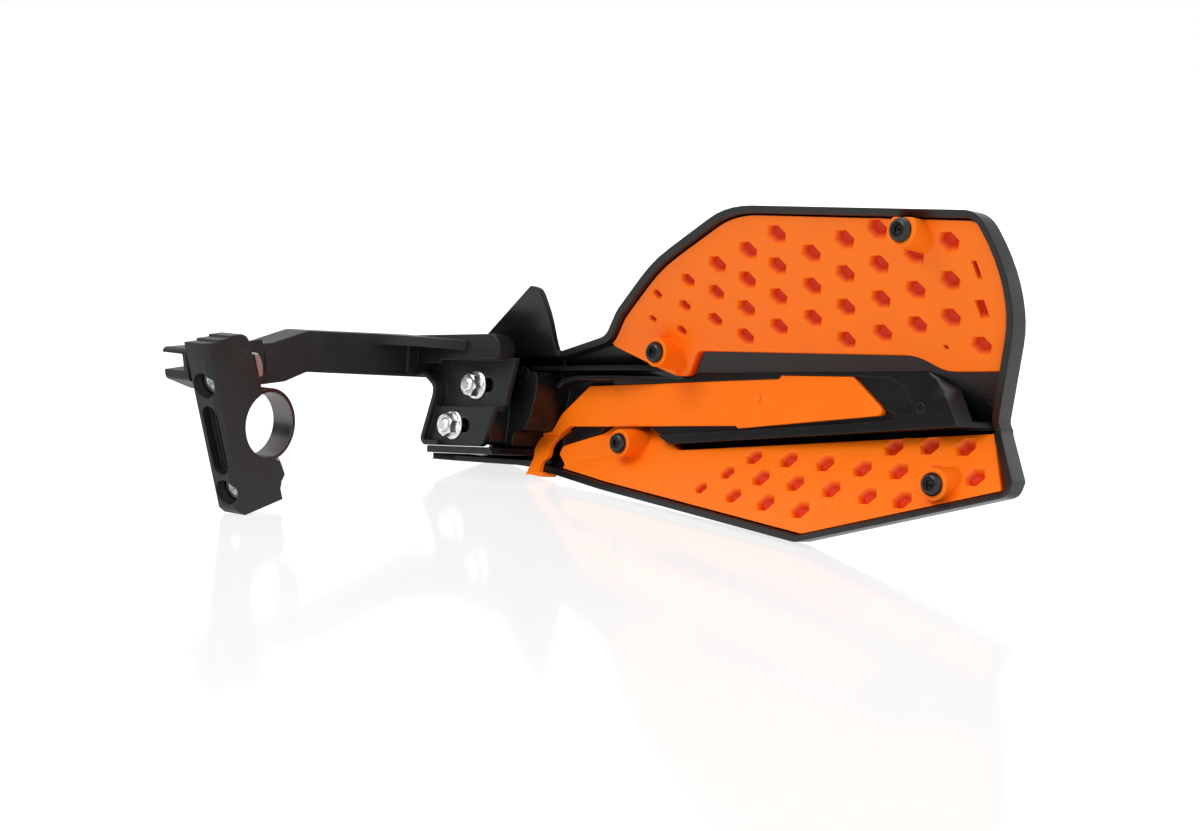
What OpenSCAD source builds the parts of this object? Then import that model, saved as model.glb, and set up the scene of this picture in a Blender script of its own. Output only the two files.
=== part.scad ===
// Hand guard for a motorcycle handlebar: clamp arm, black shield, orange vent panels and trim.
// The origin is the middle of the handlebar bore; X runs along the bar outboard, Y forward, Z up.

/* [Handlebar clamp] */
// Radius of the handlebar that the clamp takes
bar_r = 14.3; // [11:0.1:16]
// Width of the clamp block along the bar
block_w = 13; // [11:0.5:20]
// Lean of the clamp block from upright, in degrees
block_lean = 12.5; // [8:0.5:16]
// Depth of the clamp block behind the bore
block_depth = 26.7; // [24:0.1:32]
// Height of the upper strap bolt above the bore's edge
bolt_above = 12.7; // [10:0.1:15]
// Depth of the lower strap bolt below the bore's edge
bolt_below = 7.8; // [7.5:0.1:10]
// Depth of the bores for the strap bolts' heads
head_bore = 11; // [9:0.5:13]
// Width of the long slot in the block's rear face
slot_w = 8.6; // [6:0.2:10]
// Chamfer of the block's outboard rear edge
block_chamfer = 2.4; // [1:0.1:3]
// Thickness of the steel strap
strap_t = 1.9; // [1:0.1:2.4]
// Width of the steel strap
strap_w = 12; // [10:0.5:12.5]

/* [Arm] */
// Distance from the bore to the bend of the arm
arm_reach = 125; // [110:1:140]
// Fall of the arm towards the shield, in degrees
arm_fall = 7.4; // [6:0.1:9]
// Height of the arm's channel
arm_h = 19.5; // [18:0.5:24]
// Depth of the channel inboard
arm_depth = 14.6; // [12:0.2:18]
// Wall of the arm's moulding
arm_wall = 2.4; // [2:0.1:3]

/* [Shield] */
// Tilt of the upper wing towards the rider, in degrees
wing_up = 36; // [30:1:40]
// Tilt of the lower wing towards the rider, in degrees
wing_low = 37; // [32:1:40]
// Length of the shield outboard of its saddle
shield_len = 260; // [250:1:280]
// Height of the shield above its valley
shield_top = 77.5; // [74:0.5:80]
// Thickness of the black shell
shell_t = 2.4; // [2:0.1:3]
// Width of the raised rim
rim_w = 2.8; // [2.4:0.1:3.6]
// Height of the rim above the panels
rim_h = 1.8; // [1:0.1:2.6]
// Height of the beam's face above the valley
beam_rise = 12; // [11:0.25:13]

/* [Panels and trim] */
// Thickness of the orange vent panels
panel_t = 3.6; // [3.4:0.1:4.2]
// Gap between a panel and the rim round it
panel_gap = 0.6; // [0.4:0.1:1.2]
// Largest radius of a hexagonal recess
hex_r = 5; // [3.5:0.1:5.5]
// Depth of the hexagonal recesses
hex_depth = 3; // [1.5:0.1:3]
// Thickness of the centre trim
trim_t = 3; // [2.4:0.1:3.2]
// Height of the lower inner screw boss above its panel; the others follow it
boss_h = 12.4; // [10:0.2:14]
// Diameter of a screw boss at its top
boss_d = 12.8; // [11.5:0.1:14]

/* [Fasteners] */
// Diameter of the panel screws
screw_d = 5; // [4:0.5:5]
// Diameter of the bracket and clamp bolts
bolt_d = 6; // [5:0.5:6]
// Clearance round a bolt or screw
bolt_play = 0.3; // [0.2:0.05:0.5]
// Clearance between moulded pieces that fit together
fit = 0.15; // [0.1:0.05:0.3]

/* [Hidden] */

black = [0.10, 0.10, 0.11];
satin = [0.14, 0.14, 0.15];
orange = [1.0, 0.45, 0.05];
zinc = [0.80, 0.82, 0.84];
steel = [0.55, 0.55, 0.54];
dark = [0.22, 0.22, 0.23];
brass = [0.78, 0.62, 0.28];
far = 400;
arc_step = 40;
round_fn = 48;

// Place and turn of the shield: its frame has x outboard, y forward and z up along its face
shield_at = [74.1, arm_reach + 18.7, -11.8];
shield_turn = [-9, -6, -10];

// Levels of the shield, measured square to its wings from the face of the panels
shell_face = panel_t;
shell_back = panel_t + shell_t;
beam_y = -beam_rise;
trim_back = beam_y + trim_t;
web_back = trim_back + 2;

// Corners are [x, z, radius]; outlines run anticlockwise seen by the rider
shield_outline = [
    [-56, -20.5, 3], [-18, -22.8, 20], [36, -31.4, 60], [shield_len - 98, -48, 9],
    [shield_len - 10, -25.8, 3.5], [shield_len - 10.4, -20, 3], [shield_len - 27.4, 1, 5],
    [shield_len + 3.5, 50, 52], [shield_len - 3, shield_top, 7],
    [shield_len - 117, shield_top + 9.2, 60],
    [90, 68.2, 150], [55.4, 49, 40], [41.4, 38.5, 18], [8, 32.4, 3.5], [-56, 32.4, 3]];
wing_outline = [
    [-52, 30, 1], [5, 30, 1], [7.3, 36.3, 20], [13.6, 48, 40], [17, 59.6, 2.5], [12, 60.8, 3],
    [-36.7, 40.5, 12], [-52, 36, 4]];
upper_field = [
    [42, 34.3, 2], [66, 24.2, 4], [78.6, 19.6, 8], [92, 31.4, 7], [shield_len - 54, 28.2, 22],
    [shield_len - 43, 22, 14], [shield_len + 9, 22, 1], [shield_len + 9, shield_top + 19, 1],
    [42, shield_top + 19, 1]];
lower_field = [
    [3, -60, 1], [shield_len + 9, -60, 1], [shield_len - 29.5, -1.6, 1], [82, -11.6, 3],
    [70, -12.3, 4], [51, -2.4, 9], [26, -1.6, 5], [20, -5.6, 4], [-3.4, -12.2, 2],
    [-4, -16, 2], [3, -21.3, 1]];
trim_outline = [
    [-4.2, 3.1, 1], [1.6, -2.8, 1], [10, -2.7, 2], [106, -0.9, 0.4], [107.5, -2, 0.4],
    [shield_len - 72.8, 4.8, 2], [shield_len - 91, 20.4, 2], [131, 21, 0.5], [129.5, 19.5, 0.5],
    [14.3, 16.5, 3]];
tongue_outline = [
    [-4.2, 3.1, 1], [-10.7, -5.4, 1], [-17.2, -6.2, 3], [-20.2, -12, 7], [-15.4, -18, 6],
    [-13.4, -30, 0.5], [-3.4, -30, 0.5], [-8.2, -20.6, 1.5], [-5.4, -17.6, 2], [-9.4, -12, 5],
    [-4.8, -6.4, 3], [1.6, -2.8, 0.5], [4.4, -1.6, 0.3], [-0.4, 4.2, 0.3]];
beam_outline = [
    [30, -12, 2], [80, -8.9, 60], [shield_len - 87, -2.7, 60], [shield_len - 40.5, 0.4, 20],
    [shield_len - 20, 0.4, 2], [shield_len - 20, 26, 2], [30, 26, 2]];
recess_outline = [
    [shield_len - 110, 5, 1], [shield_len - 72.8, 5.2, 1], [shield_len - 61, 5, 2],
    [shield_len - 61, 8.9, 2], [shield_len - 66.2, 16.6, 7], [shield_len - 73, 20, 3],
    [shield_len - 110, 20.6, 1]];
floor_outline = [[-24, -14, 1], [30, -13, 1], [40, -9, 1], [40, 26, 1], [-24, 26, 1]];
// Groove in the beam's face between the trim and the ridge along the lower edge
groove_outline = [
    [33, -7.4, 1.5], [80, -4.7, 60], [shield_len - 87, 1.4, 60], [shield_len - 68, 3, 1.4],
    [shield_len - 70.4, 5.6, 0.8], [shield_len - 76, 7, 1], [110, 2, 1], [33, 0, 1]];
column_outline = [[-30, -13, 1], [-14, -13, 2], [-6.6, 2, 14], [-3.2, 15, 16], [-3.4, 22.6, 3],
    [-30, 22.6, 1]];
column_front = -30;

// Screws: [x, z, boss height over the panel, upper wing or not]
screws = [
    [76.8, 30.3, boss_h - 0.7, true], [shield_len - 33.1, shield_top - 5.8, boss_h - 2.4, true],
    [42.7, -10.1, boss_h, false], [shield_len - 41, -22.2, boss_h - 3.8, false]];
boss_taper = 0.1;
// Bracket bolts: [x, z, seat of the bracket's pad]
pad_high = -39;
pad_low = -43;
pad_step = 5.2;
bracket_bolts = [[-36, 15.6, pad_high], [-47.8, -4, pad_low]];
pad_t = 3;
head_seat = -16;

up_t = tan(wing_up);
up_c = cos(wing_up);
low_t = tan(wing_low);
low_c = cos(wing_low);

function flat2(p) = [p[0], p[1]];
function unit(v) = v / norm(v);
function at(list, i) = list[(i + len(list)) % len(list)];

// Points of one corner rounded by an arc
function corner_arc(a, b, c) =
    let (p = flat2(b), u = unit(flat2(a) - p), v = unit(flat2(c) - p),
        angle = acos(max(-1, min(1, u * v))), r = b[2])
    r < 0.06 || angle > 178 ? [p] :
    let (mid = p + unit(u + v) * r / sin(angle / 2), start = p + u * r / tan(angle / 2) - mid,
        end = p + v * r / tan(angle / 2) - mid, a0 = atan2(start[1], start[0]),
        sweep = (atan2(end[1], end[0]) - a0 + 540) % 360 - 180,
        n = max(1, ceil(abs(sweep) * sqrt(r) / arc_step)))
    [for (k = [0:n]) mid + r * [cos(a0 + sweep * k / n), sin(a0 + sweep * k / n)]];
function rounded(c) =
    [for (i = [0:len(c) - 1]) each corner_arc(at(c, i - 1), c[i], at(c, i + 1))];
// Outline moved inwards by d, with its corner radii following
function inset(c, d) = [for (i = [0:len(c) - 1])
    let (p = flat2(c[i]), e0 = unit(p - flat2(at(c, i - 1))), e1 = unit(flat2(at(c, i + 1)) - p),
        n0 = [-e0[1], e0[0]], n1 = [-e1[1], e1[0]], q = p + d * (n0 + n1) / (1 + n0 * n1),
        left = e0[0] * e1[1] > e0[1] * e1[0])
    [q[0], q[1], max(0.05, c[i][2] + (left ? -d : d))]];

// Line of the section at a depth d behind the panels' face, from top to bottom
function section_line(d) =
    let (z = (d / up_c - d / low_c) / (up_t + low_t))
    [[-far * up_t + d / up_c, far], [z * low_t + d / low_c, z], [-far * low_t + d / low_c, -far]];
function reversed(list) = [for (i = [len(list) - 1:-1:0]) list[i]];
function face_y(z, upper) = upper ? -z * up_t : z * low_t;

module plan(y0, y1) {
    translate([0, y1, 0]) rotate([90, 0, 0]) linear_extrude(y1 - y0) children();
}
module along(x0, x1) {
    translate([x0, 0, 0]) rotate([90, 0, 90]) linear_extrude(x1 - x0) children();
}
module shield_frame() {
    translate(shield_at) rotate(shield_turn) children();
}
// Everything between two depths of the V section
module band(d0, d1) {
    along(-far / 2, far) polygon(concat(section_line(d0), reversed(section_line(d1))));
}
// Everything on the rider's side of a depth
module rider_side(d) {
    along(-far / 2, far) polygon(concat([[-far, far]], section_line(d), [[-far, -far]]));
}
module outline_block(c, y0 = -far, y1 = far) {
    plan(y0, y1) polygon(rounded(c));
}
module peg(x, z, y0, y1, d) {
    translate([x, y1, z]) rotate([90, 0, 0]) cylinder(h = y1 - y0, d = d, $fn = round_fn);
}
module hex_peg(x, z, y0, y1, r) {
    translate([x, y1, z]) rotate([90, 0, 0]) cylinder(h = y1 - y0, r = r, $fn = 6);
}

// Clamp block in the frame of its lean: n runs forward, u up
module block_frame() {
    rotate([block_lean, 0, 0]) children();
}
front_n = -strap_t;
counter_d = 11.2;
upper_u = bar_r + bolt_above;
lower_u = -bar_r - bolt_below;
nut_w = 10;
module across_bar(x0, x1) {
    translate([x0, 0, 0]) rotate([90, 0, 90]) linear_extrude(x1 - x0) children();
}
module forward_peg(u, n0, n1, d, fn = round_fn) {
    translate([0, n0, u]) rotate([-90, 0, 0]) cylinder(h = n1 - n0, d = d, $fn = fn);
}
nut_t = 3.2;
lip_n = nut_t + 0.2;
lip_top = lower_u + 4.6;
lip_low = lower_u - 5.4;
tab_top = upper_u + 6;
tab_low = lower_u - 4.6;
block_top = upper_u + 14.5;
block_low = lower_u - 15.5;
block_lip = (block_top + strap_t * sin(block_lean)) / cos(block_lean);
top_step = 1;
step_y = [-29, -22, -10];
module bar_bore() {
    translate([-block_w, 0, 0]) rotate([0, 90, 0]) cylinder(h = 2 * block_w, r = bar_r, $fn = 96);
}
module block_body() {
    difference() {
        intersection() {
            across_bar(-block_w / 2, block_w / 2) polygon(rounded([
                [-60, block_top - 2 * top_step, 1.5], [step_y[0], block_top - 2 * top_step, 0.3],
                [step_y[0], block_top - top_step, 0.3], [step_y[1], block_top - top_step, 0.3],
                [step_y[1], block_top, 0.3], [step_y[2], block_top, 1], [30, block_top, 0.3],
                [30, block_low + 3.1, 0.3], [6, block_low + 3.1, 1.5], [-16.5, block_low, 1.5],
                [-20, block_low + 3.1, 1.5], [-60, block_low + 30, 1]]));
            block_frame() across_bar(-block_w, block_w) polygon(rounded([
                [-block_depth, block_lip + (block_depth - strap_t) * tan(block_lean) + 1, 1],
                [-block_depth, -far, 1], [-1, -far, 0.5], [-1, lip_low - 2.5, 1.5], [0, lip_low, 1.5],
                [lip_n, lip_low + 3, 2], [1.6, lip_top, 1.5], [front_n, lip_top + 1.5, 0.3],
                [front_n, block_lip, 6]]));
            // Section across the block, with the chamfer of its outboard rear edge
            block_frame() translate([0, 0, -far]) linear_extrude(2 * far)
                polygon([[-block_w, -far], [block_w / 2 - block_chamfer, -far],
                    [block_w / 2 - block_chamfer, -block_depth], [block_w / 2, block_chamfer - block_depth],
                    [block_w / 2, far], [-block_w, far]]);
        }
        bar_bore();
        block_frame() {
            for (u = [upper_u, lower_u]) {
                forward_peg(u, -60, 20, bolt_d + 2 * bolt_play);
                forward_peg(u, -60, -block_depth + head_bore, counter_d);
            }
            // Long slot in the rear face, with a deeper slot in its floor
            translate([0, -block_depth, (upper_u + lower_u) / 2 - 0.5]) {
                slot_cut(slot_w, slot_depth, slot_len);
                translate([0.8, slot_depth, 0]) slot_cut(slot_w / 2, slot_depth, slot_len - 4);
            }
            // Pocket for the lower tab and its nut, open inboard
            translate([-block_w, front_n, lip_low - 0.6])
                cube([1.5 * block_w - 0.4, strap_t + fit, lip_top - lip_low + 4]);
            translate([-block_w, -0.01, lower_u - nut_w / 2 - 0.4])
                cube([block_w + nut_w / 2 + 0.4, nut_t + 1.4, nut_w + 0.8]);
        }
    }
}
slot_depth = 4.5;
slot_len = upper_u - lower_u - counter_d - 6.4;
module slot_cut(width, depth, length) {
    for (s = [-1, 1]) translate([0, -1, s * (length - width) / 2])
        rotate([-90, 0, 0]) cylinder(h = depth + 1, d = width, $fn = round_fn);
    translate([-width / 2, -1, -(length - width) / 2]) cube([width, depth + 1, length - width]);
}

// Side view of the arm's channel, as [y, z, radius]
arm_drop = tan(arm_fall);
jog_y = 40;
jog_z = 36.8;
arm_top_end = jog_z - (arm_reach - jog_y) * arm_drop;
arm_side = [
    [-33, 22.5, 2], [-19, 16.2, 4], [24, 15.2, 6], [38, 17.9, 6],
    [arm_reach, arm_top_end - arm_h - 1.2, 3], [arm_reach, arm_top_end, 3], [jog_y, jog_z, 6],
    [17, 33.6, 6], [-34.5, 36.2, 2]];
arm_x = -block_w / 2 - 1;
function arm_top(y) = jog_z - (y - jog_y) * arm_drop;
ledge_h = 4.8;
ledge_y = arm_reach - 45;
ledge_r = 30.5;
pocket_d = 1;
arm_pockets = [[arm_reach - 39, 22, 13.6], [arm_reach - 11.5, 7, 14]];
module side_block(c, x0, x1) {
    translate([x0, 0, 0]) rotate([90, 0, 90]) linear_extrude(x1 - x0) polygon(rounded(c));
}
module channel() {
    difference() {
        side_block(arm_side, arm_x - arm_depth, arm_x);
        difference() {
            side_block(concat([[-60, 24, 0.1]], inset(arm_side, arm_wall),
                [[-60, 35.2, 0.1]]), arm_x - arm_depth - 1, arm_x - arm_wall);
            // Ribs that brace the channel
            for (y = [12, 45, 70, 95]) translate([arm_x - arm_depth, y, 0])
                rotate([arm_fall, 0, 0]) cube([arm_depth, 2, 50]);
            translate([arm_x - arm_depth, -40, 24]) cube([arm_depth, 30, arm_wall]);
        }
    }
    translate([arm_x, -30, 18]) cube([1, 40, 18]);
}
// Plan of the end bracket in the shield's frame
bracket_outline = [
    [-61, 15, 3], [-61, 11, 5], [-69.5, -11, 3], [-67, -14, 2.5], [-26, -14, 3],
    [-18, 4.8, 0.5], [-15.4, 6, 0.5], [-8.6, 28.5, 0.5], [-76, 28.5, 0.5], [-76, 20.5, 1], [-68, 20, 3]];
bar_outline = [[-78, 27.5, 1], [-14, 27.5, 1], [-11.5, 34, 5], [-18, 39.5, 5], [-78, 40, 1]];
frame_y = -46;
module end_bracket() {
    difference() {
        union() {
            outline_block(bracket_outline, pad_high, pad_high + pad_t);
            intersection() {
                outline_block(bracket_outline, pad_low, pad_high + pad_t);
                translate([-far, -far, -far]) cube([2 * far, 2 * far, far + pad_step]);
            }
            // Border that stands up round the inboard side
            difference() {
                outline_block(bracket_outline, frame_y, pad_high + pad_t);
                outline_block(inset(bracket_outline, arm_wall), frame_y - 1, far);
                translate([-56, frame_y - 1, -far]) cube([far, far, 2 * far]);
            }
            outline_block(bar_outline, frame_y, pad_high + pad_t);
        }
        translate([-far, pad_low + pad_t, pad_step - 2.4 - far]) cube([2 * far, far, far]);
        for (b = bracket_bolts) for (k = [0:1]) {
            peg(b[0] - 3 + 11.5 * k, b[1], -60, 0, bolt_d + 0.7);
            translate([b[0] - 3, -60, b[1] - bolt_d / 2 - 0.35]) cube([11.5, 60, bolt_d + 0.7]);
        }
    }
}
module arm() {
    color(satin) {
        block_body();
        difference() {
            channel();
            // Shallow pockets by the bend, with a rib between them
            for (p = arm_pockets) translate([arm_x - pocket_d, p[0], arm_top(p[0]) - ledge_h - p[2]])
                rotate([-arm_fall, 0, 0]) cube([2 * pocket_d, p[1], p[2]]);
        }
        // Ledge that grows out of the arm's face into the bracket's bar
        translate([arm_x, ledge_y, arm_top(ledge_y)]) rotate([-arm_fall, 0, 0])
            translate([0, 0, -ledge_h]) linear_extrude(ledge_h) difference() {
                polygon([[-1, 0], [ledge_r + 5, 0], [ledge_r + 5, ledge_r + 2], [-1, ledge_r + 10]]);
                translate([ledge_r, 0]) circle(r = ledge_r, $fn = 2 * round_fn);
            }
        translate([arm_x - 1, 11.6, arm_top(jog_y) - 15.6]) cube([1.7, 4, 8.6]);
        shield_frame() end_bracket();
    }
}

module clamp_strap() {
    outer = bar_r + strap_t;
    tab_u = sqrt(bar_r * bar_r - strap_t * strap_t);
    color(steel) difference() {
        union() {
            block_frame() translate([-strap_w / 2, 0, 0]) {
                difference() {
                    rotate([0, 90, 0]) cylinder(h = strap_w, r = outer, $fn = 96);
                    translate([-1, -far, -far]) cube([strap_w + 2, far - strap_t, 2 * far]);
                }
                translate([0, front_n, tab_u]) cube([strap_w, strap_t, tab_top - tab_u]);
                translate([0, front_n, tab_low]) cube([strap_w, strap_t, -tab_u - tab_low]);
            }
        }
        bar_bore();
        block_frame() for (u = [upper_u, lower_u])
            forward_peg(u, -5, 5, bolt_d + 2 * bolt_play);
    }
}

// Cap screw with a hexagon socket, its head towards the rider
module clamp_bolt(u) {
    seat = -block_depth + head_bore;
    color(zinc) block_frame() difference() {
        union() {
            forward_peg(u, seat - bolt_d, seat, bolt_d * 1.66);
            forward_peg(u, seat - 1, nut_t + 1.2, bolt_d);
        }
        translate([0, seat - bolt_d - 0.1, u]) rotate([-90, 30, 0])
            cylinder(h = bolt_d * 0.6, r = bolt_d * 0.48, $fn = 6);
    }
}
module clamp_nut(u) {
    color(zinc) block_frame() difference() {
        translate([-nut_w / 2, 0, u - nut_w / 2]) cube([nut_w, nut_t, nut_w]);
        forward_peg(u, -1, nut_t + 1, bolt_d);
    }
}

screw_head_h = 2.75;
insert_h = 8;
insert_d = 7;
post_d = 9.4;
cup_top = 2.2;
function boss_top(s) = face_y(s[1], s[3]) - s[2];
module panel_screw(s) {
    top = boss_top(s);
    color(dark) shield_frame() difference() {
        union() {
            intersection() {
                peg(s[0], s[1], top - screw_head_h, top, screw_d * 1.9);
                translate([s[0], top + 3.4, s[1]]) sphere(r = 6.5, $fn = 48);
            }
            peg(s[0], s[1], top - 1, top + cup_top + insert_h, screw_d);
        }
        hex_peg(s[0], s[1], top - screw_head_h - 1, top - 0.9, screw_d * 0.345);
    }
}
module threaded_insert(s) {
    top = boss_top(s) + cup_top;
    color(brass) shield_frame() difference() {
        peg(s[0], s[1], top, top + insert_h, insert_d);
        peg(s[0], s[1], top - 1, top + insert_h + 1, screw_d);
    }
}

module shell_bolt_cuts() {
    for (b = bracket_bolts) peg(b[0], b[1], head_seat, far, 16);
}
module shield_shell() {
    color(black) shield_frame() difference() {
        union() {
            intersection() {
                outline_block(shield_outline, -far / 2, far / 2);
                band(shell_face, shell_back);
            }
            deflector();
            // Rim that stands up round the edge
            intersection() {
                difference() {
                    outline_block(shield_outline, -far / 2, far / 2);
                    outline_block(inset(shield_outline, rim_w), -far, far);
                }
                band(-rim_h, shell_back);
            }
            // Lip under the bracket at the inner end
            difference() {
                lower_lip();
                intersection() {
                    outline_block(inset(tongue_outline, -2 * fit));
                    rider_side(-rim_h);
                }
            }
            for (s = screws) intersection() {
                peg(s[0], s[1], boss_top(s) + cup_top, far / 2, post_d);
                rider_side(shell_back - 0.5);
            }
        }
        shell_bolt_cuts();
        for (s = screws) peg(s[0], s[1], -far, boss_top(s) + cup_top + insert_h + 2, insert_d);
    }
}
// Thin wing over the bracket, in front of the rim and leaned a little more
wing_foot = 31;
module deflector() {
    intersection() {
        outline_block(wing_outline);
        translate([0, face_y(wing_foot, true) - 3, wing_foot]) rotate([90, 0, 90])
            linear_extrude(2 * far, center = true)
            polygon([[1.7, -2], [0, 0], [-25.2, 30], [-21.8, 30], [3.4, 0], [5.1, -2]]);
    }
}
lip_plan = [[-64, 0, 2], [-64, -44, 3], [-50, -41, 12], [-16, -19, 4], [-10, -8, 1]];
module lower_lip() {
    translate([0, 0, -21.5]) rotate([0, 2, 0]) translate([0, 0, -1.5])
        linear_extrude(3) polygon(rounded(reversed(lip_plan)));
}

// Edge of the beam's face at its outer end and its foot on the shell, as [x, z]
end_edge = [for (p = [[-55.6, 22.9], [-50.7, 18.9], [-46.5, 14.2], [-43.2, 9.1], [-40.7, 3.6]])
    [shield_len + p[0], p[1]]];
end_foot = [for (p = [[-42, 22.2], [-38.2, 16.8], [-34.8, 11.5], [-31, 6.6]])
    [shield_len + p[0], p[1]]];
function on_face(p) = [p[0], beam_y, p[1]];
function on_shell(p) = [p[0], face_y(p[1], true) + shell_face / up_c, p[1]];
// Everything beyond the plane through three points
module beyond(a, b, c) {
    n = unit(cross(b - a, c - a));
    translate(a) rotate([0, acos(n[2]), atan2(n[1], n[0])])
        translate([-far, -far, 0]) cube([2 * far, 2 * far, far]);
}
module beam_end() {
    for (k = [0:len(end_foot) - 1])
        beyond(on_face(end_edge[k]), on_face(end_edge[k + 1]), on_shell(end_foot[k]));
}
module spine_beam() {
    difference() {
        outline_block(beam_outline, beam_y, 30);
        beam_end();
        outline_block(inset(beam_outline, 2.6), web_back, far);
        outline_block(recess_outline, -far, beam_y + 1.2);
        outline_block(groove_outline, -far, trim_back);
    }
}
module rib(x0, x1, z0, z1, front) {
    translate([0, 0, z0]) linear_extrude(z1 - z0)
        polygon([[x0, front], [x1 - 35, front], [x1, beam_y], [x1, 20], [x0, 20]]);
}
rib_front = -20;
module spine() {
    color(black) shield_frame() difference() {
        union() {
        intersection() {
            union() {
                spine_beam();
                outline_block(floor_outline, -8, -5);
                outline_block(inset(trim_outline, 0.6), trim_back, -6);
                // Two ribs that run inboard from the beam
                rib(-18, 80, 23.4, 25.8, rib_front);
                rib(12, 70, 19, 21, rib_front);
                outline_block([[0, 14.6, 0.6], [4, 17.6, 6], [12.5, 19, 0.6], [12.5, 21, 0.6],
                    [2, 19.4, 6], [-1, 16.8, 0.6]], rib_front, 20);
                outline_block([[-8, -16, 1], [-5.6, -16, 1], [-5.6, 26, 1], [-8, 26, 1]], -9, 20);
                outline_block([[20, -13, 1], [22.4, -13, 1], [22.4, 26, 1], [20, 26, 1]], -9, 20);
                // Floor between the ribs, and a short rib up to the rim
                intersection() {
                    outline_block([[-18, 12, 1], [74, 12, 1], [74, 25.6, 1], [-18, 25.6, 1]]);
                    band(shell_face - fit - 1.5, far);
                }
                outline_block([[-0.2, 24, 0.3], [2, 24, 0.3], [5, 34, 0.3], [2.8, 34, 0.3]], rib_front + 2, 20);
                outline_block(column_outline, column_front, 20);
                mount_boss();
            }
            rider_side(shell_face - fit);
            outline_block(inset(shield_outline, rim_w + fit));
        }
        // Inboard end of the shelf, in front of the rim
        outline_block([[-65, -17.6, 1], [-48, -17.6, 1], [-48, -14.2, 1], [-65, -14.2, 1]], pad_low - 2, -18);
        }
        outline_block(inset(trim_outline, -fit), -far, trim_back);
        intersection() {
            outline_block(inset(tongue_outline, -2 * fit));
            rider_side(-rim_h);
        }
        outline_block(inset(lower_field, -0.5));
        outline_block(inset(upper_field, -0.5));
        for (s = screws) peg(s[0], s[1], -far, far, boss_d + 4.6);
        for (b = bracket_bolts) {
            peg(b[0], b[1], -60, 60, bolt_d + 2 * bolt_play);
            peg(b[0], b[1], head_seat, 60, 16);
        }
    }
}
module mount_boss() {
    high = pad_high + pad_t;
    low = pad_low + pad_t;
    outline_block([[-62, -13, 2], [-24, -13, 2], [-22, 4, 2], [-22, 26, 3], [-60, 26, 3]], high, 20);
    outline_block([[-62, -13, 2], [-24, -13, 2], [-22, pad_step - 2.6, 1], [-60, pad_step - 2.6, 1]], low, 20);
    // Shelf under the bracket, and the thin wall at its outboard end
    outline_block([[-67, -17.6, 1], [-9, -17.6, 1], [-12, -14.2, 1], [-67, -14.2, 1]], pad_low - 2, 20);
    translate([-17, 0, 0]) rotate([90, 0, 90]) linear_extrude(1.6)
        polygon([[pad_low, -15], [20, -15], [20, 1.4], [-12, 1.4], [pad_low, -11.4]]);
}

// Columns of recesses as [x, z, how many, step in x, step in z], each climbing outboard
upper_columns = [
    [73.4, 44.9, 2, 9, 10], [87.5, 39.7, 3, 8, 10], [109.3, 43.6, 3, 7, 10.7],
    [122.3, 36.5, 4, 6.8, 11], [142.6, 39.9, 4, 6, 11.6], [shield_len - 98, 42.8, 3, 6, 12],
    [shield_len - 85.4, 34.1, 4, 6, 12.3], [shield_len - 66.3, 36.4, 4, 5.3, 12.5],
    [shield_len - 48.5, 39, 3, 5.2, 12.7], [shield_len - 32, 41.4, 3, 5.6, 13.2],
    [shield_len - 22.7, 31, 1, 1, 1]];
lower_columns = [
    [95.4, -28.3, 3, 10.3, 7.2], [115.7, -30.6, 3, 9.9, 8.1], [135.1, -32.8, 3, 10.3, 8.7],
    [shield_len - 105, -34.9, 4, 10.4, 9], [shield_len - 75.2, -27.8, 3, 9.2, 10.4],
    [shield_len - 57.7, -28.7, 3, 9, 10.8], [shield_len - 29.3, -18.7, 1, 1, 1]];
// Narrow recesses at the upper panel's outer edge, as [x, z, width]
narrow_pits = [[shield_len - 16.5, 44.1, 4.2], [shield_len - 13, 57.6, 2]];
small_pit = [shield_len - 38.9, 30.8];
small_r = 1.3;
pit_floor = 0.5;
function column_pit(c, k) = [c[0] + k * c[3], c[1] + k * c[4]];
function pit_r(x) = min(hex_r, small_r + 0.9 + (x - upper_columns[0][0]) * 0.055);
module pit(p, upper, r) {
    over = 1;
    slope = r * (1 - pit_floor) / hex_depth;
    translate([p[0], face_y(p[1], upper), p[1]]) rotate([upper ? wing_up : -wing_low, 0, 0])
        translate([0, -over, 0]) rotate([-90, 0, 0])
        cylinder(h = hex_depth + over, r1 = r + over * slope, r2 = r * pit_floor, $fn = 6);
}
module upper_pits() {
    for (c = upper_columns) for (k = [0:c[2] - 1])
        pit(column_pit(c, k), true, pit_r(column_pit(c, k)[0]));
    pit(small_pit, true, small_r);
    for (p = narrow_pits) intersection() {
        pit(p, true, hex_r);
        translate([p[0] - p[2] / 2, -far, -far]) cube([p[2], 2 * far, 2 * far]);
    }
}
module lower_pits() {
    for (c = lower_columns) for (k = [0:c[2] - 1])
        pit(column_pit(c, k), false, pit_r(column_pit(c, k)[0]));
}
module panel_area(field) {
    intersection() {
        outline_block(inset(shield_outline, rim_w + panel_gap), -far / 2, far / 2);
        outline_block(field);
    }
}
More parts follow.
